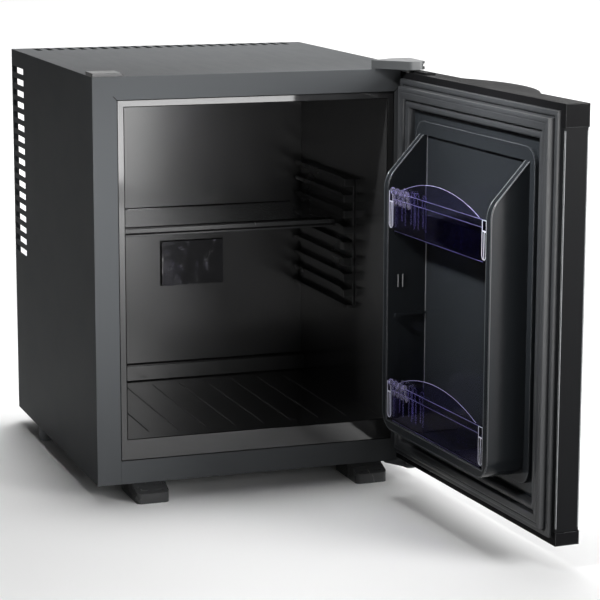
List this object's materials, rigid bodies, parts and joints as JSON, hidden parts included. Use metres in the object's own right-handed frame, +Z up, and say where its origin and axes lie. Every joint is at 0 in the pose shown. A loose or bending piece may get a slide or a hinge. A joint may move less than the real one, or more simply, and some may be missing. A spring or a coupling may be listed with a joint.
{
  "type": "minibar fridge",
  "caption": "Black compact hotel refrigerator with a hinged insulated door, clear violet door bins, a sliding half-depth shelf on stepped racks and a silent cooling unit behind.",
  "frame": {"origin": "on the floor under the centre of the cabinet's footprint, without the open door", "axes": "+X to the right seen from the front, front face towards -Y, +Z up"},
  "size_m": [0.438, 0.8369, 0.5129],
  "materials": {
    "satin_black_sheet": "satin black coated sheet",
    "galvanised_sheet": "bare zinc coated sheet",
    "gloss_liner": "glossy black moulded sheet",
    "black_plastic": "fine-textured black moulding",
    "gloss_cap": "glossy black moulding",
    "grey_plastic": "plain grey moulding",
    "foam": "rigid insulation foam",
    "seal_rubber": "soft black seal",
    "magnet": "bonded ferrite strip",
    "violet_clear": "clear violet moulding",
    "shelf_glass": "dark tempered glass",
    "zinc_steel": "zinc plated steel",
    "unit_black": "black painted steel tube",
    "jacket_steel": "bright sheet can",
    "evaporator_aluminium": "plain plate",
    "board": "white circuit board"
  },
  "bodies": {
    "cabinet": {"outer_wrap": "satin_black_sheet", "base_plate": "satin_black_sheet", "bottom_hinge_bracket": "satin_black_sheet", "back_plate": "galvanised_sheet", "cabinet_liner": "gloss_liner", "lamp_lens": "gloss_liner", "left_shelf_rack": "black_plastic", "right_shelf_rack": "black_plastic", "front_left_foot": "black_plastic", "front_right_foot": "black_plastic", "top_hinge_cover": "black_plastic", "hinge_blank_cover": "black_plastic", "control_box": "black_plastic", "power_inlet": "black_plastic", "rear_left_foot": "grey_plastic", "rear_right_foot": "grey_plastic", "cabinet_foam": "foam", "foot_screws": "zinc_steel", "hinge_screws": "zinc_steel", "unit_screws": "zinc_steel", "top_hinge_bracket": "zinc_steel", "top_hinge_pin": "zinc_steel", "bottom_hinge_pin": "zinc_steel", "unit_saddles": "zinc_steel", "condenser_tube": "unit_black", "condenser_fins": "unit_black", "absorber_coil": "unit_black", "absorber_vessel": "unit_black", "boiler_tube": "unit_black", "evaporator_tubes": "unit_black", "boiler_jacket": "jacket_steel", "heater_cartridge": "jacket_steel", "evaporator_plate": "evaporator_aluminium", "lamp_board": "board"},
    "upper_bin": {"upper_bin": "violet_clear"},
    "lower_bin": {"lower_bin": "violet_clear"},
    "shelf": {"shelf_glass": "shelf_glass", "shelf_front_trim": "black_plastic"},
    "thermostat_knob": {"thermostat_knob": "black_plastic"},
    "door": {"door_skin": "satin_black_sheet", "door_top_cap": "gloss_cap", "door_bottom_cap": "gloss_cap", "door_liner": "gloss_liner", "door_foam": "foam", "door_gasket": "seal_rubber", "gasket_magnets": "magnet", "top_hinge_bush": "black_plastic", "bottom_hinge_bush": "black_plastic"}
  },
  "joints": [
    {"name": "door_hinge", "type": "hinge", "parent": "cabinet", "child": "door", "pos_m": [0.187, -0.2365, 0.26], "axis": [0, 0, 1], "range_deg": [-93, 27]},
    {"name": "upper_bin_lift", "type": "slide", "parent": "door", "child": "upper_bin", "axis": [0, 0, 1], "range_m": [0, 0.03]},
    {"name": "lower_bin_lift", "type": "slide", "parent": "door", "child": "lower_bin", "axis": [0, 0, 1], "range_m": [0, 0.06]},
    {"name": "shelf_slide", "type": "slide", "parent": "cabinet", "child": "shelf", "axis": [0, -1, 0], "range_m": [0, 0.07]},
    {"name": "thermostat_turn", "type": "hinge", "parent": "cabinet", "child": "thermostat_knob", "pos_m": [0.1182, 0.2, 0.0488], "axis": [0, 1, 0], "range_deg": [-135, 135]}
  ]
}
